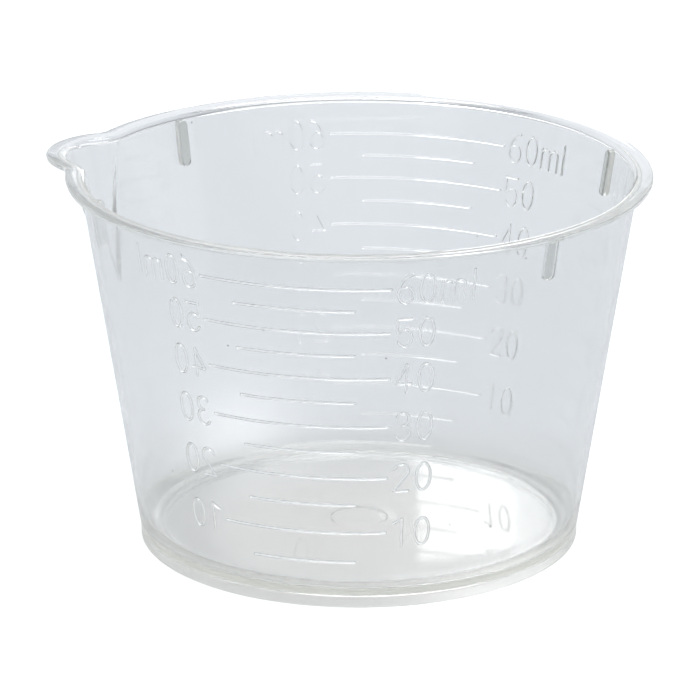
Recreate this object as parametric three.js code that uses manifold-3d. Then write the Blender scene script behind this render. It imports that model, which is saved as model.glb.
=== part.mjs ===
// A 60 ml medicine cup with a pouring spout: one injection moulding in clear polypropylene.
// Sizes are in millimetres. +Z is up, and the origin is the centre of the foot ring, on the table.
// The spout points towards -X. One scale faces -Y, and the same scale faces +Y.

import * as THREE from "three";
import { mergeVertices } from "three/addons/utils/BufferGeometryUtils.js";
import Module from "manifold-3d";

const wasm = await Module();
wasm.setup();

// Walls and floor
const cupHeight = 38.2;
const mouthRadius = 27.3; // inner wall, at the height of the rim
const floorRadius = 21.6; // inner wall, where it would meet the floor
const wallThickness = 0.6;
const floorHeight = 1.8; // top of the floor above the table
const floorThickness = 0.7;
const floorRounding = 2.3; // inner corner between floor and wall

// Foot ring
const heelHeight = 1.3; // the wall's outside stands upright below this
const footRoundingWidth = 1.0; // outer lower edge, a quarter of an oval
const footRoundingHeight = 0.5;
const recessRadius = 20.3; // hollow under the floor, inside the foot ring
const recessDraft = 0.15;

// Gate dimple in the middle of the underside
const dimpleRadius = 3.0;
const dimpleDepth = 0.3;
const dimpleDraft = 0.35;

// Rim
const rimRadius = 29.24;
const rimThickness = 0.5;
const rimRounding = 0.15;
const mouthRounding = 0.45; // inner edge of the rim

// Pouring spout: a channel that narrows to a point down the wall
const spoutReach = 2.95; // how far its tip lies beyond the round mouth
const spoutTipRadius = 5.6;
const spoutBlend = 4.2; // radius that joins the channel to the round mouth
const spoutEndHeight = 24.7; // height at which the channel runs out
const lipLift = 0.22; // how far the rim rises towards the spout's tip
const lipLength = 8.25; // back from the tip to where the rim begins to rise

// Stacking lugs on the inner wall, under the rim
const lugHeight = 4.8;
const lugWidth = 1.3;
const lugDepth = 0.7;
const lugBevel = 0.3; // of both ends, where they face inwards
const lugTopGap = 0.35; // from the lug's top to the rim's top face
const lugAngle = 33; // degrees, either side of the X axis

// Scales: raised lines and numerals on the inner wall
const lineMillilitres = 5; // one line for each step
const lastMillilitres = 60;
const longLineAngle = 20.4; // degrees, half the line's sweep
const shortLineAngle = 13.0;
const lineWidth = 0.3;
const markRelief = 0.2; // how far lines and numerals stand out of the wall
const markRoot = 0.3; // how deep they are rooted in the wall
const numeralHeight = 3.2;
const numeralWidth = 1.7;
const numeralPitch = 2.15;
const numeralStroke = 0.3;
const numeralGap = 0.55; // between a line's end and its numeral
const letterHeight = 2.3;
const letterWidth = 2.6;
const letterGap = 0.6;

// Shapes of the numerals, as shares of the pen's height unless they say width
const oneStemShift = 0.12; // of the width, right of the middle
const oneFlag = 0.33; // of the width, down from the top
const threeUpperBowl = 0.23;
const threeUpperWidth = 0.43; // of the width
const fourStemShift = 0.2; // of the width, right of the middle
const fourBarHeight = 0.3;
const fiveBowl = 0.31;
const sixBowl = 0.29;
const twoBowlEnds = [165, -35]; // degrees, where each open bowl starts and ends
const threeBowlEnds = [150, -90];
const fiveBowlEnds = [140, -150];
const sixStemEnds = [180, 95];

// Facets
const roundSides = 48;
const arcSteps = 2;
const cornerSteps = 4;
const tipSteps = 8;
const blendSteps = 4;
const bowlSteps = 5;
const archSteps = 3;
const ovalSides = 10;

const degree = Math.PI / 180;
const cubicMillimetres = 1000; // in a millilitre
const taper = (mouthRadius - floorRadius) / (cupHeight - floorHeight);
const draftAngle = Math.atan(taper);
const overshoot = 1; // how far a cutting solid runs past what it cuts
const weldDistance = 1e-4; // corners closer than this are one corner

// Radius of the inner wall at a height.
function wallRadius(z) {
  return mouthRadius - taper * (cupHeight - z);
}

// Height at which the round cup holds a volume, from that of a cut cone standing on the floor.
function fillHeight(millilitres) {
  const volume = millilitres * cubicMillimetres;
  const radius = Math.cbrt(floorRadius ** 3 + (3 * taper * volume) / Math.PI);
  return floorHeight + (radius - floorRadius) / taper;
}

// Points along an arc, or along part of an oval when two radii are given.
function arc(x, y, radiusX, radiusY, from, to, steps) {
  const points = [];
  for (let i = 0; i <= steps; i++) {
    const angle = from + ((to - from) * i) / steps;
    points.push(new THREE.Vector2(x + radiusX * Math.cos(angle), y + radiusY * Math.sin(angle)));
  }
  return points;
}

// An arc about the axis that has its corners where the turned walls have theirs.
function facetedArc(radius, from, to) {
  const side = (2 * Math.PI) / roundSides;
  const angles = [from];
  for (let i = Math.ceil(from / side); i * side < to; i++) {
    if (i * side > from) angles.push(i * side);
  }
  angles.push(to);
  return angles.map((a) => new THREE.Vector2(radius * Math.cos(a), radius * Math.sin(a)));
}

// Turns a closed geometry into a solid that can be joined and cut.
function toSolid(geometry, insideOut = false) {
  geometry.deleteAttribute("normal");
  geometry.deleteAttribute("uv");
  const merged = mergeVertices(geometry, weldDistance);
  const corners = merged.index.array;
  const faces = [];
  for (let i = 0; i < corners.length; i += 3) {
    const [a, b, c] = corners.slice(i, i + 3);
    if (a === b || b === c || c === a) continue;
    if (insideOut) faces.push(a, c, b);
    else faces.push(a, b, c);
  }
  const vertProperties = new Float32Array(merged.attributes.position.array);
  const mesh = new wasm.Mesh({ numProp: 3, vertProperties, triVerts: new Uint32Array(faces) });
  return new wasm.Manifold(mesh);
}

// Turns a finished solid back into a geometry.
function toGeometry(solid) {
  const { vertProperties, triVerts } = solid.getMesh();
  const geometry = new THREE.BufferGeometry();
  geometry.setAttribute("position", new THREE.BufferAttribute(vertProperties, 3));
  geometry.setIndex(new THREE.BufferAttribute(triVerts, 1));
  geometry.computeVertexNormals();
  return geometry;
}

// A solid of revolution from a profile that starts and ends on the axis, lowest point first.
function turned(profile) {
  const geometry = new THREE.LatheGeometry(profile, roundSides);
  geometry.rotateX(Math.PI / 2);
  return toSolid(geometry);
}

// A solid through closed outlines of equal point counts, stacked from the lowest level up.
function lofted(levels) {
  const count = levels[0].points.length;
  const positions = [];
  const index = [];
  for (const { points, z } of levels) {
    for (const point of points) positions.push(point.x, point.y, z);
  }
  for (let level = 1; level < levels.length; level++) {
    for (let i = 0; i < count; i++) {
      const next = (i + 1) % count;
      const low = (level - 1) * count;
      const high = level * count;
      index.push(low + i, low + next, high + next);
      index.push(low + i, high + next, high + i);
    }
  }
  const top = (levels.length - 1) * count;
  for (const [a, b, c] of THREE.ShapeUtils.triangulateShape(levels[0].points, [])) {
    index.push(c, b, a);
    index.push(top + a, top + b, top + c);
  }
  const geometry = new THREE.BufferGeometry();
  geometry.setAttribute("position", new THREE.Float32BufferAttribute(positions, 3));
  geometry.setIndex(index);
  return toSolid(geometry);
}

// A cone over a closed outline at the height of the rim, with its point at the spout's lower end.
function coneOver(points, pointRadius) {
  const positions = [-pointRadius, 0, spoutEndHeight];
  const index = [];
  for (const point of points) positions.push(point.x, point.y, cupHeight);
  for (let i = 0; i < points.length; i++) {
    index.push(0, 1 + ((i + 1) % points.length), 1 + i);
  }
  for (const [a, b, c] of THREE.ShapeUtils.triangulateShape(points, [])) {
    index.push(1 + a, 1 + b, 1 + c);
  }
  const geometry = new THREE.BufferGeometry();
  geometry.setAttribute("position", new THREE.Float32BufferAttribute(positions, 3));
  geometry.setIndex(index);
  return toSolid(geometry);
}

// Where the spout's tip circle and the two blending circles lie in plan. Every outline that
// runs parallel to the mouth, at any offset, has its arcs about these same three centres.
const tipCentre = mouthRadius + spoutReach - spoutTipRadius;
const blendCentre = mouthRadius + spoutBlend;
const tipToBlend = spoutTipRadius + spoutBlend;
const blendAngle = Math.acos(
  (tipCentre ** 2 + blendCentre ** 2 - tipToBlend ** 2) / (2 * tipCentre * blendCentre),
);
const blendX = -blendCentre * Math.cos(blendAngle);
const blendY = blendCentre * Math.sin(blendAngle);
const tipAngle = Math.atan2(blendY, -tipCentre - blendX);

// The spout's part of an outline, from its +Y side round the tip to its -Y side.
function spoutOutline(offset) {
  const blend = spoutBlend - offset;
  const tip = spoutTipRadius + offset;
  const near = arc(blendX, blendY, blend, blend, -blendAngle, -tipAngle, blendSteps);
  const round = arc(-tipCentre, 0, tip, tip, Math.PI - tipAngle, Math.PI + tipAngle, tipSteps);
  const far = arc(blendX, -blendY, blend, blend, tipAngle, blendAngle, blendSteps);
  return [...near, ...round.slice(1), ...far.slice(1)];
}

// The whole mouth in plan, offset outwards: a round with the spout drawn out at -X.
function mouthOutline(offset) {
  const half = Math.PI - blendAngle;
  const round = facetedArc(mouthRadius + offset, -half, half);
  return [...round.slice(1, -1), ...spoutOutline(offset)];
}

// The cup's outside up to the rim, with the hollow and the gate dimple under its floor.
function outerBody() {
  const underside = floorHeight - floorThickness;
  const dimpleTop = underside + dimpleDepth;
  const heelRadius = wallRadius(heelHeight) + wallThickness;
  const footCentre = heelRadius - footRoundingWidth;
  const shoulder = cupHeight - rimThickness / 2;
  return turned([
    new THREE.Vector2(0, dimpleTop),
    new THREE.Vector2(dimpleRadius - dimpleDraft, dimpleTop),
    new THREE.Vector2(dimpleRadius, underside),
    new THREE.Vector2(recessRadius, underside),
    new THREE.Vector2(recessRadius + recessDraft, 0),
    ...arc(
      footCentre,
      footRoundingHeight,
      footRoundingWidth,
      footRoundingHeight,
      -Math.PI / 2,
      0,
      cornerSteps,
    ),
    new THREE.Vector2(heelRadius, heelHeight),
    new THREE.Vector2(wallRadius(shoulder) + wallThickness, shoulder),
    new THREE.Vector2(0, shoulder),
  ]);
}

// The space inside the round cup, to be cut out of it.
function innerSpace() {
  const top = cupHeight + overshoot;
  const touch = floorHeight + floorRounding * (1 - Math.sin(draftAngle));
  const x = wallRadius(touch) - floorRounding * Math.cos(draftAngle);
  const y = floorHeight + floorRounding;
  return turned([
    new THREE.Vector2(0, floorHeight),
    ...arc(x, y, floorRounding, floorRounding, -Math.PI / 2, -draftAngle, cornerSteps),
    new THREE.Vector2(wallRadius(top), top),
    new THREE.Vector2(0, top),
  ]);
}

// The flat rim as a full plate with rounded edges, drawn out round the spout.
function rimPlate() {
  const width = rimRadius - mouthRadius;
  const low = cupHeight - rimThickness;
  return lofted([
    { points: mouthOutline(width - rimRounding), z: low },
    { points: mouthOutline(width), z: low + rimRounding },
    { points: mouthOutline(width), z: cupHeight - rimRounding },
    { points: mouthOutline(width - rimRounding), z: cupHeight },
  ]);
}

// What rounds the inner edge of the rim when it is cut away, the spout's edge included.
function mouthEdge() {
  const levels = arc(mouthRounding, 0, mouthRounding, mouthRounding, Math.PI, Math.PI / 2, arcSteps)
    .map((point) => ({
      points: mouthOutline(point.x),
      z: cupHeight - mouthRounding + point.y,
    }));
  const start = { points: mouthOutline(-mouthRounding), z: cupHeight - 2 * mouthRounding };
  const end = { points: mouthOutline(mouthRounding), z: cupHeight + overshoot };
  return lofted([start, ...levels, end]);
}

// Draws the rim up towards the spout's tip, and the spout's wall with it.
function liftedLip(shell) {
  const lipStart = mouthRadius + spoutReach - lipLength;
  return shell.warp((point) => {
    const along = (-point[0] - lipStart) / lipLength;
    const up = (point[2] - spoutEndHeight) / (cupHeight - spoutEndHeight);
    point[2] += lipLift * THREE.MathUtils.clamp(along, 0, 1) * THREE.MathUtils.clamp(up, 0, 1);
  });
}

// One stacking lug, standing on the wall at an azimuth and running down from the rim.
function lug(azimuth) {
  const high = cupHeight - lugTopGap;
  const low = high - lugHeight;
  const root = wallThickness / 2;
  const side = new THREE.Shape([
    new THREE.Vector2(wallRadius(low) + root, low),
    new THREE.Vector2(wallRadius(high) + root, high),
    new THREE.Vector2(wallRadius(high) - lugDepth + lugBevel, high),
    new THREE.Vector2(wallRadius(high) - lugDepth, high - lugBevel),
    new THREE.Vector2(wallRadius(low) - lugDepth, low + lugBevel),
    new THREE.Vector2(wallRadius(low) - lugDepth + lugBevel, low),
  ]);
  const geometry = new THREE.ExtrudeGeometry(side, { depth: lugWidth, bevelEnabled: false });
  geometry.translate(0, 0, -lugWidth / 2);
  geometry.rotateX(Math.PI / 2);
  geometry.rotateZ(azimuth);
  return toSolid(geometry);
}

// Every second line of a scale is a long one with numerals.
function isLong(millilitres) {
  return millilitres % (2 * lineMillilitres) === 0;
}

// One line of a scale: a bar along the inner wall, centred on the facing direction.
function scaleLine(millilitres, facing) {
  const height = fillHeight(millilitres);
  const half = (isLong(millilitres) ? longLineAngle : shortLineAngle) * degree;
  const inner = wallRadius(height) - markRelief;
  const outer = wallRadius(height) + markRoot;
  const plan = new THREE.Shape([
    ...facetedArc(outer, facing - half, facing + half),
    ...facetedArc(inner, facing - half, facing + half).reverse(),
  ]);
  const geometry = new THREE.ExtrudeGeometry(plan, { depth: lineWidth, bevelEnabled: false });
  geometry.translate(0, 0, height - lineWidth / 2);
  return toSolid(geometry);
}

// The outline of a pen stroke along a row of points.
function stroke(points) {
  const left = [];
  const right = [];
  points.forEach((point, i) => {
    const before = points[Math.max(i - 1, 0)];
    const after = points[Math.min(i + 1, points.length - 1)];
    const along = after.clone().sub(before).normalize();
    const across = new THREE.Vector2(-along.y, along.x).multiplyScalar(numeralStroke / 2);
    left.push(point.clone().add(across));
    right.unshift(point.clone().sub(across));
  });
  return new THREE.Shape([...left, ...right]);
}

// A straight pen stroke.
function bar(x0, y0, x1, y1) {
  return stroke([new THREE.Vector2(x0, y0), new THREE.Vector2(x1, y1)]);
}

// An oval drawn with the pen: a ring.
function oval(x, y, radiusX, radiusY) {
  const half = numeralStroke / 2;
  const ring = new THREE.Shape(
    arc(x, y, radiusX + half, radiusY + half, 0, 2 * Math.PI, ovalSides).slice(0, -1),
  );
  ring.holes.push(
    new THREE.Path(
      arc(x, y, radiusX - half, radiusY - half, 0, -2 * Math.PI, ovalSides).slice(0, -1),
    ),
  );
  return ring;
}

// Pen strokes of each numeral and letter, with y = 0 at half the numeral's height.
const penWidth = numeralWidth - numeralStroke;
const penHeight = numeralHeight - numeralStroke;
const penLeft = numeralStroke / 2;
const penRight = penLeft + penWidth;
const penMiddle = penLeft + penWidth / 2;
const penTop = penHeight / 2;
const penFoot = -penTop;

// A pen stroke along part of an oval, between two angles in degrees.
function bowl(x, y, radiusX, radiusY, from, to) {
  return stroke(arc(x, y, radiusX, radiusY, from * degree, to * degree, bowlSteps));
}

function letterM() {
  const pen = letterWidth - numeralStroke;
  const arch = pen / 4;
  const spring = penFoot + letterHeight - numeralStroke - arch;
  const arches = [penLeft + arch, penLeft + 3 * arch].flatMap((x) => [
    stroke(arc(x, spring, arch, arch, Math.PI, 0, archSteps)),
    bar(x + arch, spring, x + arch, penFoot),
  ]);
  return [bar(penLeft, spring + arch, penLeft, penFoot), ...arches];
}

const glyphs = {
  0: () => [oval(penMiddle, 0, penWidth / 2, penHeight / 2)],
  1: () => {
    const x = penMiddle + penWidth * oneStemShift;
    const flag = penTop - penWidth * oneFlag;
    return [bar(x, penTop, x, penFoot), bar(x, penTop, penLeft, flag)];
  },
  2: () => {
    const radius = penWidth / 2;
    const y = penTop - radius;
    const end = twoBowlEnds[1] * degree;
    const slopeX = penMiddle + radius * Math.cos(end);
    const slopeY = y + radius * Math.sin(end);
    return [
      bowl(penMiddle, y, radius, radius, ...twoBowlEnds),
      bar(slopeX, slopeY, penLeft, penFoot),
      bar(0, penFoot, penRight, penFoot),
    ];
  },
  3: () => {
    const upper = penHeight * threeUpperBowl;
    const lower = penHeight / 2 - upper;
    const [open, waist] = threeBowlEnds;
    return [
      bowl(penMiddle, penTop - upper, penWidth * threeUpperWidth, upper, open, waist),
      bowl(penMiddle, penFoot + lower, penWidth / 2, lower, -waist, -open),
    ];
  },
  4: () => {
    const x = penMiddle + penWidth * fourStemShift;
    const y = penFoot + penHeight * fourBarHeight;
    return [bar(x, penTop, x, penFoot), bar(x, penTop, penLeft, y), bar(penLeft, y, penRight, y)];
  },
  5: () => {
    const radius = penHeight * fiveBowl;
    const y = penFoot + radius;
    const start = fiveBowlEnds[0] * degree;
    return [
      bar(penRight, penTop, penLeft, penTop),
      bar(penLeft, penTop, penLeft, y + radius * Math.sin(start)),
      bowl(penMiddle, y, penWidth / 2, radius, ...fiveBowlEnds),
    ];
  },
  6: () => {
    const radius = penHeight * sixBowl;
    const y = penFoot + radius;
    return [
      oval(penMiddle, y, penWidth / 2, radius),
      bowl(penRight, y, penWidth, penTop - y, ...sixStemEnds),
    ];
  },
  m: letterM,
  l: () => [bar(penLeft, penTop, penLeft, penFoot)],
};

const advance = { m: letterWidth + letterGap, l: numeralStroke };

// Bends a flat glyph onto the inner wall. x runs from the line's end outwards along the wall,
// to the right for side 1 and, mirrored, to the left for side -1.
function onWall(shape, x, millilitres, facing, side) {
  const depth = markRoot + markRelief;
  const geometry = new THREE.ExtrudeGeometry(shape, { depth, bevelEnabled: false });
  const position = geometry.attributes.position;
  const height = fillHeight(millilitres);
  for (let i = 0; i < position.count; i++) {
    const z = height + position.getY(i);
    const radius = wallRadius(z) + markRoot - position.getZ(i);
    const along = (numeralGap + x + position.getX(i)) / wallRadius(height);
    const angle = facing + side * (longLineAngle * degree + along);
    position.setXYZ(i, radius * Math.cos(angle), radius * Math.sin(angle), z);
  }
  return toSolid(geometry, side > 0);
}

// The number at one end of a long line. The last one also carries the unit.
function numerals(millilitres, facing, side) {
  const text = millilitres === lastMillilitres ? `${millilitres}ml` : `${millilitres}`;
  const solids = [];
  let x = 0;
  for (const sign of text) {
    for (const shape of glyphs[sign]()) solids.push(onWall(shape, x, millilitres, facing, side));
    x += advance[sign] ?? numeralPitch;
  }
  return solids;
}

// All the lines and numerals of one scale.
function scale(facing) {
  const solids = [];
  for (let ml = lineMillilitres; ml <= lastMillilitres; ml += lineMillilitres) {
    solids.push(scaleLine(ml, facing));
    if (isLong(ml)) solids.push(...numerals(ml, facing, 1), ...numerals(ml, facing, -1));
  }
  return solids;
}

function lugs() {
  const turns = [lugAngle, -lugAngle, 180 + lugAngle, 180 - lugAngle];
  return turns.map((turn) => lug(turn * degree));
}

function cupSolid() {
  const outside = outerBody()
    .add(coneOver(spoutOutline(wallThickness), wallRadius(spoutEndHeight) + wallThickness))
    .add(rimPlate());
  const shell = outside
    .subtract(innerSpace())
    .subtract(coneOver(spoutOutline(0), wallRadius(spoutEndHeight)))
    .subtract(mouthEdge());
  const features = [...lugs(), ...scale(-Math.PI / 2), ...scale(Math.PI / 2)];
  return features.reduce((solid, feature) => solid.add(feature), liftedLip(shell));
}

const clearPlastic = new THREE.MeshStandardMaterial({
  color: 0xdfe5ea,
  roughness: 0.18,
  metalness: 0,
  transparent: true,
  opacity: 0.35,
});

const cup = new THREE.Mesh(toGeometry(cupSolid()), clearPlastic);
cup.name = "cup_body";

const group = new THREE.Group();
group.add(cup);
export default group;
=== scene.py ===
"""A clear 60 ml medicine cup with a pouring spout, on a white table.

Sizes are in millimetres until a mesh is made. +Z is up, the spout points towards -X, and one
scale faces -Y, towards the camera, and the other +Y.
"""
import math

import bpy
import numpy as np
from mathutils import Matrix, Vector


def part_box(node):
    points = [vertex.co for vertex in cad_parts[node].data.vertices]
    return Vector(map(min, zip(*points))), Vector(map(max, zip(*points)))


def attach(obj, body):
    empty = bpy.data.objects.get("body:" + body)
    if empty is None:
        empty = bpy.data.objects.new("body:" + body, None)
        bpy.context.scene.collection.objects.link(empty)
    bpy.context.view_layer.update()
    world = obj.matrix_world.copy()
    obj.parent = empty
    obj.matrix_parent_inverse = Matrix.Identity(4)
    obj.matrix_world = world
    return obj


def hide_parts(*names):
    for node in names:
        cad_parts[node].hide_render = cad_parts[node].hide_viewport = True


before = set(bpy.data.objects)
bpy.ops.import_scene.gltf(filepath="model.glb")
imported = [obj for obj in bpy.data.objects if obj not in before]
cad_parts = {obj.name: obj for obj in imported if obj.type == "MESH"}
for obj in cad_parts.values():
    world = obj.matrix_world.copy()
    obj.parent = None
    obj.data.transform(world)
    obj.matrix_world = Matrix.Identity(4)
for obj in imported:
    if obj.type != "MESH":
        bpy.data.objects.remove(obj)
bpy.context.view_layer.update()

MM = 0.001
WHITE = (1, 1, 1, 1)
low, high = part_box("cup_body")

# Walls, floor and rim, as in the construction
CUP_HEIGHT = 38.2
RIM_RADIUS = high[1] / MM
MOUTH_RADIUS = 27.3
FLOOR_RADIUS = 21.6
WALL = 0.6
FLOOR_HEIGHT = 1.8
FLOOR_THICKNESS = 0.7
FLOOR_ROUNDING = 2.3
HEEL_HEIGHT = 1.3  # the wall's outside stands upright below this
HEEL_SOFTNESS = 0.15
FOOT_ROUNDING_WIDTH = 1.0  # outer lower edge, a quarter of an oval
FOOT_ROUNDING_HEIGHT = 0.5
FOOT_INNER_ROUNDING = 0.15
RECESS_RADIUS = 20.3
RECESS_ROUNDING = 0.3
DIMPLE_RADIUS = 3.0
DIMPLE_DEPTH = 0.3
RIM_THICKNESS = 0.5
RIM_ROUNDING = 0.15
MOUTH_ROUNDING = 0.45
UNDER_RIM_ROUNDING = 0.25

# Pouring spout
SPOUT_REACH = -low[0] / MM - RIM_RADIUS
SPOUT_TIP_RADIUS = 5.6
SPOUT_BLEND = 4.2
SPOUT_END = 24.7
LIP_START = 22.0  # distance from the axis where the rim begins to rise
LIP_LIFT = high[2] / MM - CUP_HEIGHT
SPOUT_HALF_ANGLE = 16.0  # degrees either side of the spout where columns lie close

# Stacking lugs
LUG_HEIGHT = 4.8
LUG_WIDTH = 1.3
LUG_DEPTH = 0.7
LUG_TOP_GAP = 0.35
LUG_ANGLE = 33.0
LUG_CORNER = 0.6  # rounding of its corners, seen from the axis
LUG_EDGE = 0.3  # rounding of its edges

# Scales
LINE_STEP = 5
LAST_LINE = 60
LONG_LINE_ANGLE = 20.4
SHORT_LINE_ANGLE = 13.0
LINE_WIDTH = 0.32
STROKE_WIDTH = 0.30
ROOT = 0.3  # how far each mark reaches into the wall
FRONT_RIDGE = (0.18, 1.22)  # the marks' height and power, see ridge_section
REAR_RIDGE = (0.2, 1.5)  # chosen apart from the front's, for its look in the photograph
NUMERAL_HEIGHT = 3.2
NUMERAL_WIDTH = 1.7
NUMERAL_PITCH = 2.15
NUMERAL_GAP = 0.55
LETTER_HEIGHT = 2.3
LETTER_WIDTH = 2.6
LETTER_GAP = 0.6

# How finely the surfaces are divided
SPOUT_COLUMN = 0.32  # degrees
ROUND_COLUMN = 1.5
WALL_ROW = 0.36  # mm, above the spout's lower end
PLAIN_ROWS = 6  # below it
LINE_STEPS = 43
OVAL_STEPS = 32
SHARP_ANGLE = 38  # degrees, between faces that meet in a crisp edge

# Where the inner wall takes the cone's own normals
CONE_START = 3.0  # above the floor
CONE_END = 1.0  # below the rim
CONE_FACING = 0.997  # least cosine between a face's normal and the cone's
CONE_DISTANCE = 0.01

# Plastic
PLASTIC_COLOUR = (0.97, 0.975, 0.98, 1)
REFRACTION = 1.49
CLEARNESS = 0.96
HAZE_COLOUR = (0.86, 0.885, 0.91, 1)
HAZE_DENSITY = 130
HAZE_FORWARD = 0.5
TINT_COLOUR = (0.75, 0.78, 0.6, 1)
TINT_DENSITY = 40
LET_THROUGH = (0.985, 0.985, 0.985, 1)  # of the light on its way to the table
GLOSS_ROUGHNESS = 0.02
DULL_ROUGHNESS = 0.06
MOTTLE_SCALE = 220.0  # patches to a metre
MOTTLE_RANGE = (0.35, 0.65)  # of the noise, from gloss to dull
SPECK_COLOUR = (0.3, 0.32, 0.34, 1)
SPECK_CELL = 5.0
SPECK_SIZE = 0.15
# painted shade: the lugs' inner faces are made greyer, though the plastic there is clear
LUG_SHADE_COLOUR = (0.46, 0.475, 0.45, 1)
LUG_SHADE_DEPTH = 0.58  # inside the wall
LUG_SHADE_START = 31.0  # above the table
RIPPLE_SCALE = 130.0
RIPPLE_HEIGHT = 0.005

# Camera
CAMERA_AZIMUTH = 14.0  # degrees from facing the scale, away from the spout
CAMERA_ELEVATION = 18.52
CAMERA_DISTANCE = 515.2
CAMERA_ASIDE = -0.91  # the point that it looks at, right of the axis
CAMERA_HEIGHT = 19.41  # and above the table
LENS = 263.3
SENSOR = 36.0

# Table
TABLE_SIZE = 6000.0  # from its middle to each edge
TABLE_ROUGHNESS = 0.9
TABLE_SHINE = 0.1
TABLE_COLOUR = (0.72, 0.745, 0.77, 1)
UNDER_CUP_LIGHT_COLOUR = (0.705, 0.68, 0.65, 1)  # light that came through the plastic is warmer
UNDER_CUP = (0.0, 0.0, 24.0, 24.0)  # right of the axis, behind it, half width, half length
TABLE_GLOW = 0.4  # added for the camera only
CAUSTICS = [  # the same, and strength
    (-13.5, 30.0, 6.0, 14.0, 0.3),
    (-16.0, 50.0, 22.0, 26.0, 0.07),
    (12.0, -17.0, 7.0, 5.0, 0.32),
    (18.0, -11.5, 5.0, 7.0, 0.25),
    (13.0, 5.0, 7.0, 12.0, 0.14),
]

# Room and lamps
ROOM_COLOUR = (0.34, 0.355, 0.38, 1)
PANELS = [  # left edge, right edge, lower end, upper end, strength: see panel
    ((-2.9, 0.5), (32.0, 14.0), (0.02, 0.02), (0.7, 0.1), 0.7),
    ((-60.0, 9.0), (-9.0, 1.5), (0.02, 0.02), (0.7, 0.1), 0.6),
    ((-60.0, 9.0), (60.0, 9.0), (0.42, 0.03), (0.85, 0.06), 0.25),
    ((120.0, 15.0), (240.0, 15.0), (0.0, 0.02), (0.6, 0.1), 0.4),
]
KEY_PLACE = (30.0, 120.0, 700.0)
KEY_TARGET = (0.0, 0.0, 20.0)
KEY_SIZE = 500.0
KEY_RADIANCE = 4.0
CARDS = [  # name; its middle right of the axis, behind it and up; width, height, radiance
    ("bright_card", 20.0, 220.0, 69.0, 19.0, 46.0, 2.6),
    ("pale_card", 38.0, 220.0, 69.0, 17.0, 46.0, 1.5),
]
SIDE_CARD = (260.0, 60.0, 80.0, 270.0, 160.0, 0.42)  # the same without a name; it faces the axis

TAPER = (MOUTH_RADIUS - FLOOR_RADIUS) / (CUP_HEIGHT - FLOOR_HEIGHT)
DRAFT = math.atan(TAPER)
TIP_CENTRE = MOUTH_RADIUS + SPOUT_REACH - SPOUT_TIP_RADIUS
BLEND_CENTRE = MOUTH_RADIUS + SPOUT_BLEND
TIP_TO_BLEND = SPOUT_TIP_RADIUS + SPOUT_BLEND
BLEND_ANGLE = math.acos(
    (TIP_CENTRE**2 + BLEND_CENTRE**2 - TIP_TO_BLEND**2) / (2 * TIP_CENTRE * BLEND_CENTRE)
)
TIP_ANGLE = math.atan2(
    BLEND_CENTRE * math.sin(BLEND_ANGLE), BLEND_CENTRE * math.cos(BLEND_ANGLE) - TIP_CENTRE
)


def wall_radius(z):
    """Inner wall: a cone, its radius in a straight line from floor to mouth."""
    return MOUTH_RADIUS - TAPER * (CUP_HEIGHT - z)


def far_side(centre, turn, radius):
    """Distance from the axis to a circle's far side along a ray turned from its centre."""
    half_chord = np.sqrt(np.maximum(radius**2 - (centre * np.sin(turn)) ** 2, 0))
    return centre * np.cos(turn) + half_chord


def near_side(centre, turn, radius):
    """Distance from the axis to a circle's near side along a ray turned from its centre."""
    half_chord = np.sqrt(np.maximum(radius**2 - (centre * np.sin(turn)) ** 2, 0))
    return centre * np.cos(turn) - half_chord


def plan(azimuth, level, offset):
    """Radius of the cup in plan at a height, offset outwards, with its spout.

    The round wall is a circle. The spout is a cone: its section is the mouth's spout outline,
    a tip circle between two blending circles, shrunk towards a point on the wall at SPOUT_END.
    The larger radius of the two holds, with a small smooth step where they cross.
    """
    turn = np.abs((azimuth % (2 * math.pi)) - math.pi)
    wall = wall_radius(level) + offset
    share = np.clip((level - SPOUT_END) / (CUP_HEIGHT - SPOUT_END), 0, 1)
    start = wall_radius(SPOUT_END) + offset
    tip_radius = (SPOUT_TIP_RADIUS + offset) * share
    tip_centre = start + (TIP_CENTRE - start) * share
    blend_radius = (SPOUT_BLEND - offset) * share
    blend_x = start + (BLEND_CENTRE * math.cos(BLEND_ANGLE) - start) * share
    blend_y = BLEND_CENTRE * math.sin(BLEND_ANGLE) * share
    blend_centre = np.hypot(blend_x, blend_y)
    blend_turn = np.arctan2(blend_y, blend_x)
    join_x = tip_centre + tip_radius * math.cos(TIP_ANGLE)
    join = np.arctan2(tip_radius * math.sin(TIP_ANGLE), join_x)
    tip = far_side(tip_centre, turn, tip_radius)
    blend = near_side(blend_centre, np.minimum(turn - blend_turn, 0), blend_radius)
    spout = np.where(turn < join, tip, blend) * (share > 0)
    step = np.maximum(wall - blend_centre + blend_radius, 1e-6)
    mix = np.maximum(step - np.abs(spout - wall), 0) / step
    return np.maximum(wall, spout) + mix**2 * step / 4


def arc(x, y, radius, start, end, steps):
    """Points along an arc, from one angle in degrees to another."""
    angle = np.radians(np.linspace(start, end, steps + 1))
    return np.column_stack([x + radius * np.cos(angle), y + radius * np.sin(angle)])


def columns():
    """Azimuths of the mesh's columns: close together at the spout, wider round the rest."""
    near = np.arange(-SPOUT_HALF_ANGLE, SPOUT_HALF_ANGLE, SPOUT_COLUMN)
    sweep = 360 - 2 * SPOUT_HALF_ANGLE
    count = round(sweep / ROUND_COLUMN)
    far = SPOUT_HALF_ANGLE + np.arange(0, count) * sweep / count
    return np.radians(180 + np.concatenate([near, far]))


def wall_levels(start, end):
    """Heights of the rows up a wall: far apart below the spout, then close together."""
    count = round((end - SPOUT_END) / WALL_ROW)
    below = np.linspace(start, SPOUT_END - 1, PLAIN_ROWS)
    return np.concatenate([below, np.linspace(SPOUT_END - 0.5, end, count)])


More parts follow.
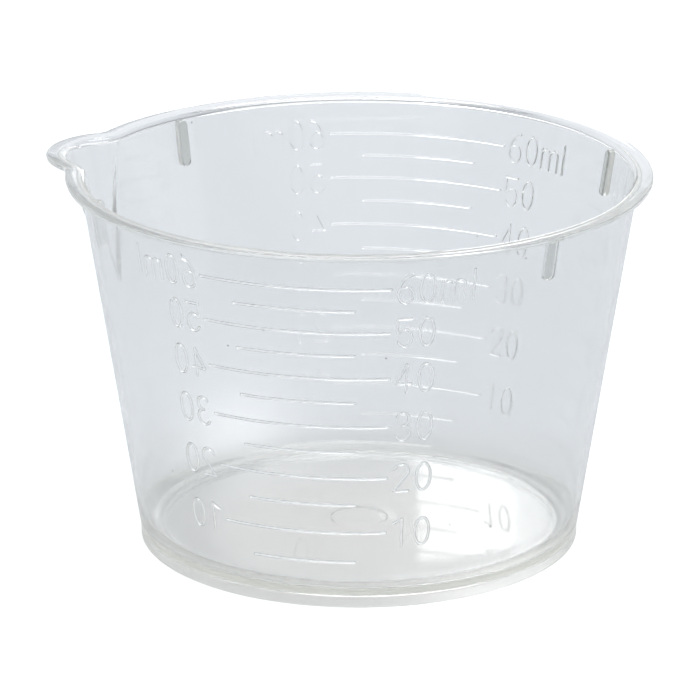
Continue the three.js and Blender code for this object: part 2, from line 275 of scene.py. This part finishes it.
def shell_rings():
    """The cup's closed profile as rings, from the dimple under the floor round to the inside.

    A ring is (level, offset, z): its plan is taken at level and lies offset outside the inner
    wall. Rings under the floor and on it are plain circles, given by the offset alone.
    """
    underside = FLOOR_HEIGHT - FLOOR_THICKNESS
    dimple_top = underside + DIMPLE_DEPTH
    rings = []

    def circle(points):
        for radius, z in points:
            rings.append((z, radius - wall_radius(z), z))

    circle([(1.0, dimple_top), (2.0, dimple_top)])
    soft = DIMPLE_DEPTH / 2
    slope = 50  # degrees that each half of the dimple's side turns
    circle(arc(DIMPLE_RADIUS - 2 * soft, dimple_top - soft, soft, 90, 90 - slope, 4))
    circle(arc(DIMPLE_RADIUS, underside + soft, soft, 270 - slope, 270, 4))
    circle([(r, underside) for r in np.linspace(DIMPLE_RADIUS + 1, RECESS_RADIUS - 1, 7)])
    corner = RECESS_RADIUS - RECESS_ROUNDING
    circle(arc(corner, underside - RECESS_ROUNDING, RECESS_ROUNDING, 90, 0, 5))
    ring_edge = RECESS_RADIUS + FOOT_INNER_ROUNDING
    circle(arc(ring_edge, FOOT_INNER_ROUNDING, FOOT_INNER_ROUNDING, 180, 270, 4))
    heel = wall_radius(HEEL_HEIGHT) + WALL
    oval_edge = arc(0, 0, 1, -90, 0, 10) * [FOOT_ROUNDING_WIDTH, FOOT_ROUNDING_HEIGHT]
    circle(oval_edge + [heel - FOOT_ROUNDING_WIDTH, FOOT_ROUNDING_HEIGHT])
    circle([(heel, HEEL_HEIGHT - HEEL_SOFTNESS)])
    upper = HEEL_HEIGHT + HEEL_SOFTNESS
    rings.append((upper, WALL, upper))
    wall_top = CUP_HEIGHT - RIM_THICKNESS - UNDER_RIM_ROUNDING
    for z in wall_levels(upper + 1.5, wall_top):
        rings.append((z, WALL, z))
    for x, z in arc(WALL + UNDER_RIM_ROUNDING, wall_top, UNDER_RIM_ROUNDING, 180, 90, 4)[1:]:
        rings.append((CUP_HEIGHT, x, z))
    width = RIM_RADIUS - MOUTH_RADIUS
    low_edge = CUP_HEIGHT - RIM_THICKNESS + RIM_ROUNDING
    high_edge = CUP_HEIGHT - RIM_ROUNDING
    for x, z in arc(width - RIM_ROUNDING, low_edge, RIM_ROUNDING, -90, 0, 4):
        rings.append((CUP_HEIGHT, x, z))
    for x, z in arc(width - RIM_ROUNDING, high_edge, RIM_ROUNDING, 0, 90, 4):
        rings.append((CUP_HEIGHT, x, z))
    rings.append((CUP_HEIGHT, width / 2, CUP_HEIGHT))
    for x, z in arc(MOUTH_ROUNDING, CUP_HEIGHT - MOUTH_ROUNDING, MOUTH_ROUNDING, 90, 180, 6):
        rings.append((z, x, z))
    touch = FLOOR_HEIGHT + FLOOR_ROUNDING * (1 - math.sin(DRAFT))
    for z in wall_levels(touch + 1.5, CUP_HEIGHT - MOUTH_ROUNDING - 0.3)[::-1]:
        rings.append((z, 0.0, z))
    corner = wall_radius(touch) - FLOOR_ROUNDING * math.cos(DRAFT)
    draft = math.degrees(DRAFT)
    circle(arc(corner, FLOOR_HEIGHT + FLOOR_ROUNDING, FLOOR_ROUNDING, -draft, -90, 10))
    circle([(r, FLOOR_HEIGHT) for r in np.linspace(corner - 1.5, 1, 8)])
    return np.array(rings)


def lip_rise(x, z):
    """How far the rim is drawn up towards the spout's tip, and the spout's wall with it."""
    along = (-x - LIP_START) / (MOUTH_RADIUS + SPOUT_REACH - LIP_START)
    up = (z - SPOUT_END) / (CUP_HEIGHT - SPOUT_END)
    return LIP_LIFT * np.clip(along, 0, 1) * np.clip(up, 0, 1)


def grid_faces(rows, count):
    """Quads between neighbouring rows of a grid whose columns close into a loop."""
    below = np.arange(rows - 1)[:, None] * count
    above = below + count
    here = np.arange(count)[None, :]
    after = (here + 1) % count
    return np.stack([below + here, below + after, above + after, above + here], -1)


def cup_shell():
    """The turned and drawn-out wall as one closed mesh: (points, faces)."""
    azimuth = columns()
    rings = shell_rings()
    level, offset, z = rings[:, 0:1], rings[:, 1:2], rings[:, 2:3]
    radius = plan(azimuth[None, :], level, offset)
    x, y = radius * np.cos(azimuth), radius * np.sin(azimuth)
    points = np.stack([x, y, z + lip_rise(x, z)], -1)
    count = len(azimuth)
    rows = len(rings)
    quads = grid_faces(rows, count).reshape(-1, 4)
    poles = np.array([[0, 0, rings[0, 2]], [0, 0, rings[-1, 2]]])
    points = np.concatenate([points.reshape(-1, 3), poles])
    here = np.arange(count)
    after = (here + 1) % count
    last = (rows - 1) * count
    bottom = np.column_stack([np.full(count, rows * count), after, here])
    top = np.column_stack([np.full(count, rows * count + 1), last + here, last + after])
    return points, [*quads.tolist(), *bottom.tolist(), *top.tolist()]


def fill_height(millilitres):
    """Height of a line: that of a cut cone standing on the floor, which holds its volume."""
    cube = FLOOR_RADIUS**3 + 3 * TAPER * 1000 * millilitres / math.pi
    return FLOOR_HEIGHT + (np.cbrt(cube) - FLOOR_RADIUS) / TAPER


def on_wall(flat, height, facing, side):
    """Bends flat points (along, up, out) onto the inner wall, from the end of a long line."""
    z = height + flat[..., 1]
    radius = wall_radius(z) - flat[..., 2]
    beyond = (NUMERAL_GAP + flat[..., 0]) / wall_radius(height)
    azimuth = facing + side * (math.radians(LONG_LINE_ANGLE) + beyond)
    return np.stack([radius * np.cos(azimuth), radius * np.sin(azimuth), z], -1)


def ridge_section(width, height, power):
    """Across a raised line: a rounded roof over the wall, and a square-cornered root inside it.

    The roof is half an oval whose sine and cosine are raised to a power: the higher the power,
    the straighter its slopes.
    """
    angle = np.linspace(0, math.pi, 11)
    cosine, sine = np.cos(angle), np.sin(angle)
    across = np.concatenate([np.sign(cosine) * np.abs(cosine) ** power, [-1, 1]]) * width / 2
    out = np.concatenate([np.abs(sine) ** power * height, [-ROOT, -ROOT]])
    return across, out


def ridge(path, width, shape, closed=False):
    """A ridge along a flat path: its section carried along, with round ends: (points, faces).

    Each end repeats the section, drawn in and pushed on as a quarter circle turns.
    """
    across, out = ridge_section(width, *shape)
    if closed:
        ahead = np.roll(path, -1, 0) - np.roll(path, 1, 0)
    else:
        ahead = np.gradient(path, axis=0)
    ahead = ahead / np.linalg.norm(ahead, axis=1)[:, None]
    scale = np.ones(len(path))
    if not closed:
        swing = np.radians([80, 60, 40, 20])
        push = np.sin(swing)[:, None] * width / 2
        path = np.concatenate([path[0] - ahead[0] * push, path, path[-1] + ahead[-1] * push[::-1]])
        ahead = np.concatenate([ahead[:1].repeat(4, 0), ahead, ahead[-1:].repeat(4, 0)])
        scale = np.concatenate([np.cos(swing), scale, np.cos(swing[::-1])])
    normal = np.column_stack([-ahead[:, 1], ahead[:, 0]])
    flat = path[:, None, :] + normal[:, None, :] * (across[None, :] * scale[:, None])[..., None]
    height = np.where(out > 0, out[None, :] * scale[:, None], out[None, :])
    points = np.concatenate([flat, height[..., None]], -1)
    count = len(across)
    rows = len(path)
    quads = grid_faces(rows, count).reshape(-1, 4).tolist()
    if closed:
        here = np.arange(count)
        after = (here + 1) % count
        last = (rows - 1) * count
        quads += np.stack([last + here, last + after, after, here], -1).tolist()
        return points, quads
    ends = [list(range(count))[::-1], list(range((rows - 1) * count, rows * count))]
    return points, quads + ends


def new_mesh(name, points, faces):
    """A mesh object in metres from points in millimetres."""
    mesh = bpy.data.meshes.new(name)
    mesh.from_pydata((points.reshape(-1, 3) * MM).tolist(), [], faces)
    mesh.validate()
    piece = bpy.data.objects.new(name, mesh)
    bpy.context.scene.collection.objects.link(piece)
    return piece


PEN_WIDTH = NUMERAL_WIDTH - STROKE_WIDTH
PEN_HEIGHT = NUMERAL_HEIGHT - STROKE_WIDTH
LEFT = STROKE_WIDTH / 2
RIGHT = LEFT + PEN_WIDTH
MIDDLE = LEFT + PEN_WIDTH / 2
TOP = PEN_HEIGHT / 2
FOOT = -TOP


def bar(x0, y0, x1, y1):
    """A straight pen stroke."""
    return np.linspace([x0, y0], [x1, y1], 5), False


def bowl(x, y, radius_x, radius_y, start, end):
    """A pen stroke along part of an oval, between two angles in degrees."""
    steps = max(6, round(abs(end - start) / 12))
    angle = np.radians(np.linspace(start, end, steps + 1))
    return np.column_stack([x + radius_x * np.cos(angle), y + radius_y * np.sin(angle)]), False


def oval(x, y, radius_x, radius_y):
    """A closed pen stroke round an oval."""
    angle = np.linspace(0, 2 * math.pi, OVAL_STEPS, endpoint=False)
    return np.column_stack([x + radius_x * np.cos(angle), y + radius_y * np.sin(angle)]), True


def letter_m():
    """Three legs and two arches."""
    arch = (LETTER_WIDTH - STROKE_WIDTH) / 4
    spring = FOOT + LETTER_HEIGHT - STROKE_WIDTH - arch
    strokes = [bar(LEFT, spring + arch, LEFT, FOOT)]
    for x in (LEFT + arch, LEFT + 3 * arch):
        strokes.append(bowl(x, spring, arch, arch, 180, 0))
        strokes.append(bar(x + arch, spring, x + arch, FOOT))
    return strokes


def numeral_two():
    radius = PEN_WIDTH / 2
    y = TOP - radius
    end = math.radians(-35)
    return [
        bowl(MIDDLE, y, radius, radius, 165, -35),
        bar(MIDDLE + radius * math.cos(end), y + radius * math.sin(end), LEFT, FOOT),
        bar(LEFT, FOOT, RIGHT, FOOT),
    ]


def numeral_three():
    upper = PEN_HEIGHT * 0.23
    lower = PEN_HEIGHT / 2 - upper
    return [
        bowl(MIDDLE, TOP - upper, PEN_WIDTH * 0.43, upper, 150, -90),
        bowl(MIDDLE, FOOT + lower, PEN_WIDTH / 2, lower, 90, -150),
    ]


def numeral_four():
    x = MIDDLE + PEN_WIDTH * 0.2
    y = FOOT + PEN_HEIGHT * 0.3
    return [bar(x, TOP, x, FOOT), bar(x, TOP, LEFT, y), bar(LEFT, y, RIGHT, y)]


def numeral_five():
    radius = PEN_HEIGHT * 0.31
    y = FOOT + radius
    return [
        bar(RIGHT, TOP, LEFT, TOP),
        bar(LEFT, TOP, LEFT, y + radius * math.sin(math.radians(140))),
        bowl(MIDDLE, y, PEN_WIDTH / 2, radius, 140, -150),
    ]


def numeral_six():
    radius = PEN_HEIGHT * 0.29
    y = FOOT + radius
    return [
        oval(MIDDLE, y, PEN_WIDTH / 2, radius),
        bowl(RIGHT, y, PEN_WIDTH, TOP - y, 180, 95),
    ]


def numeral_one():
    x = MIDDLE + PEN_WIDTH * 0.12
    return [bar(x, TOP, x, FOOT), bar(x, TOP, LEFT, TOP - PEN_WIDTH * 0.33)]


GLYPHS = {
    "0": [oval(MIDDLE, 0, PEN_WIDTH / 2, PEN_HEIGHT / 2)],
    "1": numeral_one(),
    "2": numeral_two(),
    "3": numeral_three(),
    "4": numeral_four(),
    "5": numeral_five(),
    "6": numeral_six(),
    "m": letter_m(),
    "l": [bar(LEFT, TOP, LEFT, FOOT)],
}
ADVANCE = {"m": LETTER_WIDTH + LETTER_GAP, "l": STROKE_WIDTH}


def scale_marks(facing, shape):
    """Every ridge of one scale: lines at each 5 ml, numerals at both ends of the long ones."""
    marks = []
    for millilitres in range(LINE_STEP, LAST_LINE + LINE_STEP, LINE_STEP):
        height = fill_height(millilitres)
        is_long = millilitres % (2 * LINE_STEP) == 0
        half = math.radians(LONG_LINE_ANGLE if is_long else SHORT_LINE_ANGLE)
        reach = (half - math.radians(LONG_LINE_ANGLE)) * wall_radius(height) - NUMERAL_GAP
        length = 2 * half * wall_radius(height)
        along = np.linspace(reach - length, reach, LINE_STEPS)
        points, faces = ridge(np.column_stack([along, 0 * along]), LINE_WIDTH, shape)
        marks.append(new_mesh("line", on_wall(points, height, facing, 1), flipped(faces, True)))
        if not is_long:
            continue
        text = f"{millilitres}ml" if millilitres == LAST_LINE else f"{millilitres}"
        for side in (1, -1):
            x = 0.0
            for sign in text:
                for path, closed in GLYPHS[sign]:
                    points, faces = ridge(path + [x, 0], STROKE_WIDTH, shape, closed)
                    bent = on_wall(points, height, facing, side)
                    marks.append(new_mesh("stroke", bent, flipped(faces, side > 0)))
                x += ADVANCE.get(sign, NUMERAL_PITCH)
    return marks


def flipped(faces, turn):
    """The faces turned inside out where asked."""
    return [face[::-1] for face in faces] if turn else faces


def lug(azimuth):
    """A stacking lug: a bar on the wall with round ends and rounded edges.

    Its outline, seen from the axis, is drawn in level by level as a quarter circle turns.
    """
    top = CUP_HEIGHT - LUG_TOP_GAP
    foot = top - LUG_HEIGHT
    half = LUG_WIDTH / 2
    side = half - LUG_CORNER
    levels = [(0, -WALL / 2)]
    levels += [(LUG_EDGE - x, LUG_DEPTH - LUG_EDGE + y) for x, y in arc(0, 0, LUG_EDGE, 0, 90, 6)]
    rows = []
    for shrink, out in levels:
        corner = LUG_CORNER - shrink
        outline = np.concatenate([
            arc(side, foot + LUG_CORNER, corner, 0, -90, 6),
            arc(-side, foot + LUG_CORNER, corner, -90, -180, 6),
            arc(-side, top - LUG_CORNER, corner, 180, 90, 6),
            arc(side, top - LUG_CORNER, corner, 90, 0, 6),
        ])
        z = outline[:, 1]
        rows.append(np.column_stack([wall_radius(z) - out, outline[:, 0], z]))
    points = np.array(rows)
    cosine, sine = math.cos(azimuth), math.sin(azimuth)
    points[..., :2] = points[..., :2] @ np.array([[cosine, sine], [-sine, cosine]])
    count = len(outline)
    quads = grid_faces(len(rows), count).reshape(-1, 4).tolist()
    ends = [list(range(count))[::-1], list(range((len(rows) - 1) * count, len(rows) * count))]
    return new_mesh("lug", points, quads + ends)


def joined(base, parts):
    """The base with every part joined to it as one closed solid."""
    tools = bpy.data.collections.new("tools")
    bpy.context.scene.collection.children.link(tools)
    for part in parts:
        bpy.context.scene.collection.objects.unlink(part)
        tools.objects.link(part)
    modifier = base.modifiers.new("join", "BOOLEAN")
    modifier.operation = "UNION"
    modifier.operand_type = "COLLECTION"
    modifier.collection = tools
    modifier.solver = "MANIFOLD"
    graph = bpy.context.evaluated_depsgraph_get()
    mesh = bpy.data.meshes.new_from_object(base.evaluated_get(graph))
    base.modifiers.clear()
    mesh.materials.clear()
    base.data = mesh
    for part in parts:
        bpy.data.objects.remove(part)
    bpy.data.collections.remove(tools)


def smooth(piece):
    """Smooth shading with crisp edges, and the cone's true normals on the inner wall."""
    mesh = piece.data
    mesh.polygons.foreach_set("use_smooth", [True] * len(mesh.polygons))
    mesh.set_sharp_from_angle(angle=math.radians(SHARP_ANGLE))
    mesh.update()
    corners = np.empty(len(mesh.loops) * 3)
    mesh.corner_normals.foreach_get("vector", corners)
    corners = corners.reshape(-1, 3)
    points = np.empty(len(mesh.vertices) * 3)
    mesh.vertices.foreach_get("co", points)
    points = points.reshape(-1, 3) / MM
    vertex = np.empty(len(mesh.loops), dtype=np.int64)
    mesh.loops.foreach_get("vertex_index", vertex)
    place = points[vertex]
    radius = np.hypot(place[:, 0], place[:, 1])
    outward = place[:, :2] / np.maximum(radius, 1e-9)[:, None]
    cone = np.column_stack([-outward * math.cos(DRAFT), np.full(len(place), math.sin(DRAFT))])
    faces = np.empty(len(mesh.polygons) * 3)
    mesh.polygons.foreach_get("normal", faces)
    sizes = np.empty(len(mesh.polygons), dtype=np.int64)
    mesh.polygons.foreach_get("loop_total", sizes)
    owner = np.repeat(np.arange(len(sizes)), sizes)
    facing = (faces.reshape(-1, 3)[owner] * cone).sum(1)
    off_wall = np.abs(radius - wall_radius(place[:, 2]))
    above = place[:, 2] > FLOOR_HEIGHT + CONE_START
    below = place[:, 2] < CUP_HEIGHT - CONE_END
    on_cone = (facing > CONE_FACING) & (off_wall < CONE_DISTANCE) & above & below
    turn = np.abs(np.arctan2(place[:, 1], -place[:, 0]))
    on_cone &= turn > math.radians(SPOUT_HALF_ANGLE)
    corners[on_cone] = cone[on_cone]
    mesh.normals_split_custom_set(corners)


def camera_frame(right, behind):
    """A point on the table in metres, from millimetres right of the axis and behind it.

    Right and behind are as the camera sees them.
    """
    turn = math.radians(CAMERA_AZIMUTH)
    x = right * math.cos(turn) - behind * math.sin(turn)
    y = right * math.sin(turn) + behind * math.cos(turn)
    return x * MM, y * MM


def math_node(nodes, links, operation, first, second):
    """One step of arithmetic on two node outputs, or on an output and a plain number."""
    node = nodes.new("ShaderNodeMath")
    node.operation = operation
    links.new(first, node.inputs[0])
    if isinstance(second, (int, float)):
        node.inputs[1].default_value = second
    else:
        links.new(second, node.inputs[1])
    return node.outputs[0]


def step_node(nodes, links, value, start, end):
    """A smooth step from 0 to 1 between two values, or down again where start is the larger."""
    ramp = nodes.new("ShaderNodeMapRange")
    ramp.interpolation_type = "SMOOTHSTEP"
    ramp.inputs["From Min"].default_value = start
    ramp.inputs["From Max"].default_value = end
    links.new(value, ramp.inputs["Value"])
    return ramp.outputs["Result"]


def painted(nodes, links, mask, first, second):
    """The first colour where the mask is 0 and the second where it is 1.

    The first is a colour or a node's output.
    """
    paint = nodes.new("ShaderNodeMixRGB")
    if isinstance(first, tuple):
        paint.inputs["Color1"].default_value = first
    else:
        links.new(first, paint.inputs["Color1"])
    paint.inputs["Color2"].default_value = second
    links.new(mask, paint.inputs["Fac"])
    return paint.outputs["Color"]


def mottle(nodes, links, place):
    """Roughness: gloss all over, a little duller in soft patches.

    place is the point's own coordinates, here and in the three functions that follow.
    """
    noise = nodes.new("ShaderNodeTexNoise")
    noise.inputs["Scale"].default_value = MOTTLE_SCALE
    noise.inputs["Detail"].default_value = 3
    links.new(place, noise.inputs["Vector"])
    ramp = nodes.new("ShaderNodeMapRange")
    ramp.inputs["From Min"].default_value = MOTTLE_RANGE[0]
    ramp.inputs["From Max"].default_value = MOTTLE_RANGE[1]
    ramp.inputs["To Min"].default_value = GLOSS_ROUGHNESS
    ramp.inputs["To Max"].default_value = DULL_ROUGHNESS
    links.new(noise.outputs["Fac"], ramp.inputs["Value"])
    return ramp.outputs["Result"]


def specks(nodes, links, place):
    """Colour: clear, with a few tiny dark specks where the surface passes a cell's point."""
    cells = nodes.new("ShaderNodeTexVoronoi")
    cells.inputs["Scale"].default_value = 1 / (SPECK_CELL * MM)
    links.new(place, cells.inputs["Vector"])
    size = SPECK_SIZE / SPECK_CELL
    mask = step_node(nodes, links, cells.outputs["Distance"], size, size / 2)
    return painted(nodes, links, mask, PLASTIC_COLOUR, SPECK_COLOUR)


def lug_face_shade(nodes, links, place, colour):
    """Colour: painted shade, greyer on the lugs' inner faces, which look grey though the plastic
    there is as clear as the rest.

    Above LUG_SHADE_START they are the only surface more than LUG_SHADE_DEPTH inside the wall.
    """
    split = nodes.new("ShaderNodeSeparateXYZ")
    links.new(place, split.inputs[0])
    across = math_node(nodes, links, "MULTIPLY", split.outputs["X"], split.outputs["X"])
    along = math_node(nodes, links, "MULTIPLY", split.outputs["Y"], split.outputs["Y"])
    square = math_node(nodes, links, "ADD", across, along)
    radius = math_node(nodes, links, "SQRT", square, 0)
    rise = math_node(nodes, links, "MULTIPLY", split.outputs["Z"], TAPER)
    inset = math_node(nodes, links, "SUBTRACT", rise, radius)
    edge = (LUG_SHADE_DEPTH - wall_radius(0)) * MM
    inner = math_node(nodes, links, "GREATER_THAN", inset, edge)
    start = LUG_SHADE_START * MM
    upper = math_node(nodes, links, "GREATER_THAN", split.outputs["Z"], start)
    mask = math_node(nodes, links, "MULTIPLY", inner, upper)
    return painted(nodes, links, mask, colour, LUG_SHADE_COLOUR)


def ripple(nodes, links, place):
    """Normal: hardly seen waves, so that straight reflections waver a little."""
    waves = nodes.new("ShaderNodeTexNoise")
    waves.inputs["Scale"].default_value = RIPPLE_SCALE
    waves.inputs["Detail"].default_value = 1
    links.new(place, waves.inputs["Vector"])
    bump = nodes.new("ShaderNodeBump")
    bump.inputs["Distance"].default_value = RIPPLE_HEIGHT * MM
    links.new(waves.outputs["Fac"], bump.inputs["Height"])
    return bump.outputs["Normal"]


def clear_plastic():
    """Clear polypropylene: smooth, a little milky, and yellower where it is thick.

    Light that only passes on to the table is let straight through, so that the cup doesn't
    stand in a dark shadow of its own.
    """
    material = bpy.data.materials.new("clear_polypropylene")
    material.use_nodes = True
    nodes = material.node_tree.nodes
    links = material.node_tree.links
    shader = nodes["Principled BSDF"]
    output = nodes["Material Output"]
    place = nodes.new("ShaderNodeTexCoord").outputs["Object"]
    links.new(mottle(nodes, links, place), shader.inputs["Roughness"])
    # painted shade on the lugs' inner faces, laid over the specks
    colour = lug_face_shade(nodes, links, place, specks(nodes, links, place))
    links.new(colour, shader.inputs["Base Color"])
    links.new(ripple(nodes, links, place), shader.inputs["Normal"])
    shader.inputs["IOR"].default_value = REFRACTION
    shader.inputs["Transmission Weight"].default_value = CLEARNESS
    path = nodes.new("ShaderNodeLightPath").outputs
    passing = math_node(nodes, links, "MAXIMUM", path["Is Shadow Ray"], path["Is Diffuse Ray"])
    open_shader = nodes.new("ShaderNodeBsdfTransparent")
    open_shader.inputs["Color"].default_value = LET_THROUGH
    mix = nodes.new("ShaderNodeMixShader")
    links.new(passing, mix.inputs["Fac"])
    links.new(shader.outputs["BSDF"], mix.inputs[1])
    links.new(open_shader.outputs["BSDF"], mix.inputs[2])
    links.new(mix.outputs["Shader"], output.inputs["Surface"])
    haze = nodes.new("ShaderNodeVolumeScatter")
    haze.inputs["Color"].default_value = HAZE_COLOUR
    haze.inputs["Density"].default_value = HAZE_DENSITY
    haze.inputs["Anisotropy"].default_value = HAZE_FORWARD
    tint = nodes.new("ShaderNodeVolumeAbsorption")
    tint.inputs["Color"].default_value = TINT_COLOUR
    tint.inputs["Density"].default_value = TINT_DENSITY
    volume = nodes.new("ShaderNodeAddShader")
    links.new(haze.outputs["Volume"], volume.inputs[0])
    links.new(tint.outputs["Volume"], volume.inputs[1])
    links.new(volume.outputs["Shader"], output.inputs["Volume"])
    return material


def make_cup():
    """The cup: its shell, with every mark and lug joined to it as one closed mesh."""
    shell = new_mesh("medicine_cup", *cup_shell())
    marks = scale_marks(-math.pi / 2, FRONT_RIDGE) + scale_marks(math.pi / 2, REAR_RIDGE)
    turns = (LUG_ANGLE, -LUG_ANGLE, 180 + LUG_ANGLE, 180 - LUG_ANGLE)
    lugs = [lug(math.radians(turn)) for turn in turns]
    joined(shell, marks + lugs)
    smooth(shell)
    shell.data.materials.append(clear_plastic())
    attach(shell, "root")
    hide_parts("cup_body")


def white_floor():
    """The table: matt and pale grey, lit like the rest, that the camera sees as plain white."""
    size = TABLE_SIZE * MM
    corners = [(-size, -size, 0), (size, -size, 0), (size, size, 0), (-size, size, 0)]
    mesh = bpy.data.meshes.new("table")
    mesh.from_pydata(corners, [], [(0, 1, 2, 3)])
    floor = bpy.data.objects.new("table", mesh)
    bpy.context.scene.collection.objects.link(floor)
    material = bpy.data.materials.new("white_table")
    material.use_nodes = True
    nodes = material.node_tree.nodes
    links = material.node_tree.links
    shader = nodes["Principled BSDF"]
    shader.inputs["Roughness"].default_value = TABLE_ROUGHNESS
    shader.inputs["Specular IOR Level"].default_value = TABLE_SHINE
    path = nodes.new("ShaderNodeLightPath")
    place = nodes.new("ShaderNodeTexCoord").outputs["Object"]
    glow = math_node(nodes, links, "MULTIPLY", path.outputs["Is Camera Ray"], TABLE_GLOW)
    # painted light: soft glowing ovals on the table where the cup's caustics fall
    for *outline, strength in CAUSTICS:
        soft_oval = patch(nodes, links, place, *outline)
        bright = math_node(nodes, links, "MULTIPLY", soft_oval, strength)
        glow = math_node(nodes, links, "ADD", glow, bright)
    emission = nodes.new("ShaderNodeEmission")
    emission.inputs["Color"].default_value = WHITE
    links.new(glow, emission.inputs["Strength"])
    # painted light: the table under the cup is warmer and a little darker, for the light that came
    # through the plastic
    under = patch(nodes, links, place, *UNDER_CUP)
    paint = painted(nodes, links, under, TABLE_COLOUR, UNDER_CUP_LIGHT_COLOUR)
    links.new(paint, shader.inputs["Base Color"])
    add = nodes.new("ShaderNodeAddShader")
    links.new(shader.outputs["BSDF"], add.inputs[0])
    links.new(emission.outputs["Emission"], add.inputs[1])
    links.new(add.outputs["Shader"], nodes["Material Output"].inputs["Surface"])
    mesh.materials.append(material)


def patch(nodes, links, place, right, behind, across, along):
    """A soft oval on the table, 1 in its middle: exp(-distance squared), in half widths."""
    turned = nodes.new("ShaderNodeMapping")
    turned.vector_type = "TEXTURE"
    turned.inputs["Location"].default_value = (*camera_frame(right, behind), 0)
    turned.inputs["Rotation"].default_value = (0, 0, math.radians(CAMERA_AZIMUTH))
    turned.inputs["Scale"].default_value = (across * MM, along * MM, 1)
    links.new(place, turned.inputs["Vector"])
    length = nodes.new("ShaderNodeVectorMath")
    length.operation = "LENGTH"
    links.new(turned.outputs["Vector"], length.inputs[0])
    square = math_node(nodes, links, "POWER", length.outputs["Value"], 2)
    falling = math_node(nodes, links, "MULTIPLY", square, -1)
    return math_node(nodes, links, "EXPONENT", falling, 0)


def panel(nodes, links, direction, left, right, low_end, high_end, strength):
    """A bright upright panel in the room, far away: its light by direction.

    left and right are (angle, softness) in degrees to the right of straight behind the cup;
    low_end and high_end are (sine of the elevation, softness).
    """
    mask = None
    for (angle, softness), sign in ((left, 1), (right, -1)):
        turn = math.radians(CAMERA_AZIMUTH - angle)
        dot = nodes.new("ShaderNodeVectorMath")
        dot.operation = "DOT_PRODUCT"
        dot.inputs[1].default_value = (math.cos(turn), math.sin(turn), 0)
        links.new(direction, dot.inputs[0])
        soft = math.sin(math.radians(softness)) * sign
        edge = step_node(nodes, links, dot.outputs["Value"], -soft, soft)
        mask = edge if mask is None else math_node(nodes, links, "MULTIPLY", mask, edge)
    split = nodes.new("ShaderNodeSeparateXYZ")
    links.new(direction, split.inputs[0])
    for (level, softness), sign in ((low_end, 1), (high_end, -1)):
        soft = softness * sign
        edge = step_node(nodes, links, split.outputs["Z"], level - soft, level + soft)
        mask = math_node(nodes, links, "MULTIPLY", mask, edge)
    return math_node(nodes, links, "MULTIPLY", mask, strength)


def studio():
    """The room: plain white to the camera; a pale room with bright panels to all the rest."""
    world = bpy.data.worlds.new("studio")
    bpy.context.scene.world = world
    world.use_nodes = True
    nodes = world.node_tree.nodes
    links = world.node_tree.links
    direction = nodes.new("ShaderNodeTexCoord").outputs["Generated"]
    room = nodes["Background"]
    room.inputs["Color"].default_value = ROOM_COLOUR
    room.inputs["Strength"].default_value = 1
    light = None
    for left, right, low_end, high_end, strength in PANELS:
        more = panel(nodes, links, direction, left, right, low_end, high_end, strength)
        light = more if light is None else math_node(nodes, links, "ADD", light, more)
    panels = nodes.new("ShaderNodeBackground")
    panels.inputs["Color"].default_value = WHITE
    links.new(light, panels.inputs["Strength"])
    both = nodes.new("ShaderNodeAddShader")
    links.new(room.outputs["Background"], both.inputs[0])
    links.new(panels.outputs["Background"], both.inputs[1])
    white = nodes.new("ShaderNodeBackground")
    white.inputs["Color"].default_value = WHITE
    path = nodes.new("ShaderNodeLightPath")
    mix = nodes.new("ShaderNodeMixShader")
    links.new(path.outputs["Is Camera Ray"], mix.inputs["Fac"])
    links.new(both.outputs["Shader"], mix.inputs[1])
    links.new(white.outputs["Background"], mix.inputs[2])
    links.new(mix.outputs["Shader"], nodes["World Output"].inputs["Surface"])


def light_limits():
    """How often light may turn in the plastic: it bounces many times in the rim and the foot."""
    cycles = bpy.context.scene.cycles
    cycles.max_bounces = 40
    cycles.transmission_bounces = 32
    cycles.glossy_bounces = 24
    cycles.transparent_max_bounces = 16
    cycles.volume_bounces = 2


def soft_lamp(name, place, target, width, height, radiance):
    """A rectangular soft lamp, unseen by the camera, that looks at a point."""
    data = bpy.data.lights.new(name, "AREA")
    data.shape = "RECTANGLE"
    data.size = width * MM
    data.size_y = height * MM
    data.energy = radiance * math.pi * data.size * data.size_y
    lamp = bpy.data.objects.new(name, data)
    bpy.context.scene.collection.objects.link(lamp)
    lamp.location = place
    lamp.visible_camera = False
    lamp.rotation_euler = (Vector(target) - Vector(place)).to_track_quat("-Z", "Y").to_euler()


def lamps():
    """The key lamp overhead, a card at the side, and two that the floor mirrors at its right."""
    key_place, key_target = Vector(KEY_PLACE) * MM, Vector(KEY_TARGET) * MM
    soft_lamp("key", key_place, key_target, KEY_SIZE, KEY_SIZE, KEY_RADIANCE)
    right, behind, up, *card = SIDE_CARD
    level = up * MM
    soft_lamp("side_card", (*camera_frame(right, behind), level), (0, 0, level), *card)
    for name, right, behind, up, *card in CARDS:
        level = up * MM
        target = (*camera_frame(right, 0), level)
        soft_lamp(name, (*camera_frame(right, behind), level), target, *card)


def camera():
    """The photograph's view: its angle, its distance and the point it looks at."""
    azimuth = math.radians(CAMERA_AZIMUTH)
    elevation = math.radians(CAMERA_ELEVATION)
    target = Vector((*camera_frame(CAMERA_ASIDE, 0), CAMERA_HEIGHT * MM))
    back = Vector((
        math.sin(azimuth) * math.cos(elevation),
        -math.cos(azimuth) * math.cos(elevation),
        math.sin(elevation),
    ))
    data = bpy.data.cameras.new("camera")
    data.sensor_width = SENSOR
    data.lens = LENS
    data.clip_start = 0.01
    data.clip_end = 50
    view = bpy.data.objects.new("camera", data)
    bpy.context.scene.collection.objects.link(view)
    view.location = target + back * CAMERA_DISTANCE * MM
    view.rotation_euler = (-back).to_track_quat("-Z", "Y").to_euler()
    bpy.context.scene.camera = view


camera()
make_cup()
white_floor()
studio()
light_limits()
lamps()
bpy.context.scene.view_settings.view_transform = "Standard"
